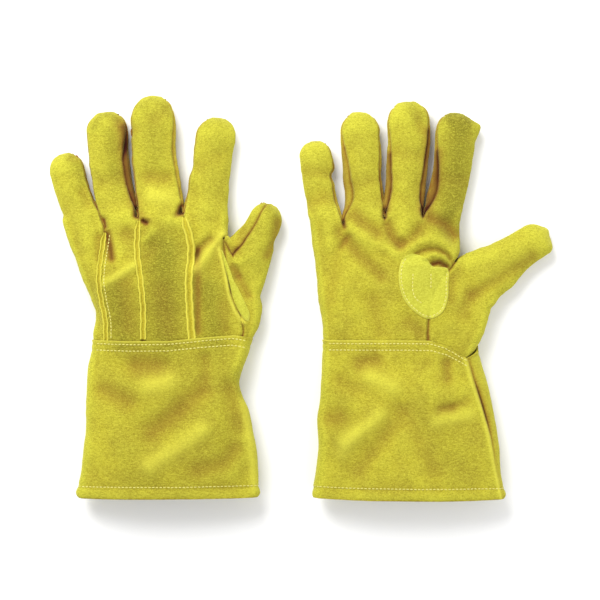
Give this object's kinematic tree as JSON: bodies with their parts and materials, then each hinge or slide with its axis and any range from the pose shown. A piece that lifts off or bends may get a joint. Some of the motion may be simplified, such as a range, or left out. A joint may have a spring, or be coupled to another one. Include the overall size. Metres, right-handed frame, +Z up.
{
  "type": "pair of leather gauntlet gloves",
  "caption": "Pair of suede leather gauntlet work gloves, of the kind worn over insulating gloves, with stalls that bend at the fingers, thumbs and wrists.",
  "frame": {"origin": "under the middle of the pair, on the surface that the gloves lie on", "axes": "+X across the pair from the left glove to the right one, +Y from the cuffs to the fingertips, +Z up"},
  "size_m": [0.4096, 0.3304, 0.0358],
  "materials": {
    "yellow_suede": "brushed nap, matte",
    "side_strip_suede": "brushed nap, matte",
    "patch_leather": "smooth split leather, matte",
    "thread": "twisted sewing thread"
  },
  "bodies": {
    "left_hand": {"left_palm_panel": "yellow_suede", "left_back_little": "yellow_suede", "left_back_ring": "yellow_suede", "left_back_middle": "yellow_suede", "left_back_index": "yellow_suede", "left_thumb_base": "yellow_suede", "left_welt_little_ring": "yellow_suede", "left_welt_ring_middle": "yellow_suede", "left_welt_middle_index": "yellow_suede", "left_crotch_patch": "patch_leather", "left_cuff_band": "yellow_suede", "left_cuff_stitching": "thread"},
    "left_little_finger": {"left_little_front": "yellow_suede", "left_little_back": "yellow_suede", "left_little_inner_side_strip": "side_strip_suede"},
    "left_ring_finger": {"left_ring_front": "yellow_suede", "left_ring_back": "yellow_suede", "left_ring_outer_side_strip": "side_strip_suede", "left_ring_inner_side_strip": "side_strip_suede"},
    "left_middle_finger": {"left_middle_front": "yellow_suede", "left_middle_back": "yellow_suede", "left_middle_outer_side_strip": "side_strip_suede", "left_middle_inner_side_strip": "side_strip_suede"},
    "left_index_finger": {"left_index_front": "yellow_suede", "left_index_back": "yellow_suede", "left_index_outer_side_strip": "side_strip_suede"},
    "left_thumb": {"left_thumb_front": "yellow_suede", "left_thumb_back": "yellow_suede"},
    "left_gauntlet": {"left_gauntlet": "yellow_suede", "left_hem_stitching": "thread"},
    "right_hand": {"right_palm_panel": "yellow_suede", "right_back_little": "yellow_suede", "right_back_ring": "yellow_suede", "right_back_middle": "yellow_suede", "right_back_index": "yellow_suede", "right_thumb_base": "yellow_suede", "right_welt_little_ring": "yellow_suede", "right_welt_ring_middle": "yellow_suede", "right_welt_middle_index": "yellow_suede", "right_crotch_patch": "patch_leather", "right_cuff_band": "yellow_suede", "right_cuff_stitching": "thread"},
    "right_little_finger": {"right_little_front": "yellow_suede", "right_little_back": "yellow_suede", "right_little_inner_side_strip": "side_strip_suede"},
    "right_ring_finger": {"right_ring_front": "yellow_suede", "right_ring_back": "yellow_suede", "right_ring_outer_side_strip": "side_strip_suede", "right_ring_inner_side_strip": "side_strip_suede"},
    "right_middle_finger": {"right_middle_front": "yellow_suede", "right_middle_back": "yellow_suede", "right_middle_outer_side_strip": "side_strip_suede", "right_middle_inner_side_strip": "side_strip_suede"},
    "right_index_finger": {"right_index_front": "yellow_suede", "right_index_back": "yellow_suede", "right_index_outer_side_strip": "side_strip_suede"},
    "right_thumb": {"right_thumb_front": "yellow_suede", "right_thumb_back": "yellow_suede"},
    "right_gauntlet": {"right_gauntlet": "yellow_suede", "right_hem_stitching": "thread"}
  },
  "joints": [
    {"name": "left_little_bend", "type": "hinge", "parent": "left_hand", "child": "left_little_finger", "pos_m": [-0.18082, 0.07043, 0.00952], "axis": [-0.9303, -0.3668, 0], "range_deg": [-10, 60]},
    {"name": "left_ring_bend", "type": "hinge", "parent": "left_hand", "child": "left_ring_finger", "pos_m": [-0.15001, 0.0733, 0.00996], "axis": [-0.9825, -0.1865, 0], "range_deg": [-10, 60]},
    {"name": "left_middle_bend", "type": "hinge", "parent": "left_hand", "child": "left_middle_finger", "pos_m": [-0.11544, 0.08014, 0.01001], "axis": [-0.9979, -0.0653, 0], "range_deg": [-10, 60]},
    {"name": "left_index_bend", "type": "hinge", "parent": "left_hand", "child": "left_index_finger", "pos_m": [-0.07786, 0.0787, 0.00991], "axis": [-0.9874, 0.1582, 0], "range_deg": [-10, 60]},
    {"name": "left_thumb_bend", "type": "hinge", "parent": "left_hand", "child": "left_thumb", "pos_m": [-0.04524, 0.03339, 0.01125], "axis": [-0.8876, 0.4606, 0], "range_deg": [-10, 50]},
    {"name": "left_wrist_bend", "type": "hinge", "parent": "left_hand", "child": "left_gauntlet", "pos_m": [-0.11173, -0.0599, 0.0155], "axis": [1, 0, 0], "range_deg": [-25, 25]},
    {"name": "right_little_bend", "type": "hinge", "parent": "right_hand", "child": "right_little_finger", "pos_m": [0.01876, 0.07438, 0.01019], "axis": [0.97, 0.243, 0], "range_deg": [-10, 60]},
    {"name": "right_ring_bend", "type": "hinge", "parent": "right_hand", "child": "right_ring_finger", "pos_m": [0.05294, 0.07643, 0.01058], "axis": [0.9995, 0.0304, 0], "range_deg": [-10, 60]},
    {"name": "right_middle_bend", "type": "hinge", "parent": "right_hand", "child": "right_middle_finger", "pos_m": [0.08541, 0.07889, 0.01064], "axis": [0.9991, -0.0416, 0], "range_deg": [-10, 60]},
    {"name": "right_index_bend", "type": "hinge", "parent": "right_hand", "child": "right_index_finger", "pos_m": [0.11753, 0.07718, 0.01055], "axis": [0.9712, -0.2382, 0], "range_deg": [-10, 60]},
    {"name": "right_thumb_bend", "type": "hinge", "parent": "right_hand", "child": "right_thumb", "pos_m": [0.14988, 0.01899, 0.01182], "axis": [0.5807, -0.8141, 0], "range_deg": [-10, 50]},
    {"name": "right_wrist_bend", "type": "hinge", "parent": "right_hand", "child": "right_gauntlet", "pos_m": [0.08427, -0.0599, 0.0155], "axis": [1, 0, 0], "range_deg": [-25, 25]},
    {"name": "right_glove_lift", "type": "slide", "parent": "left_hand", "child": "right_hand", "axis": [0, 0, 1], "range_m": [0, 0.25]}
  ]
}
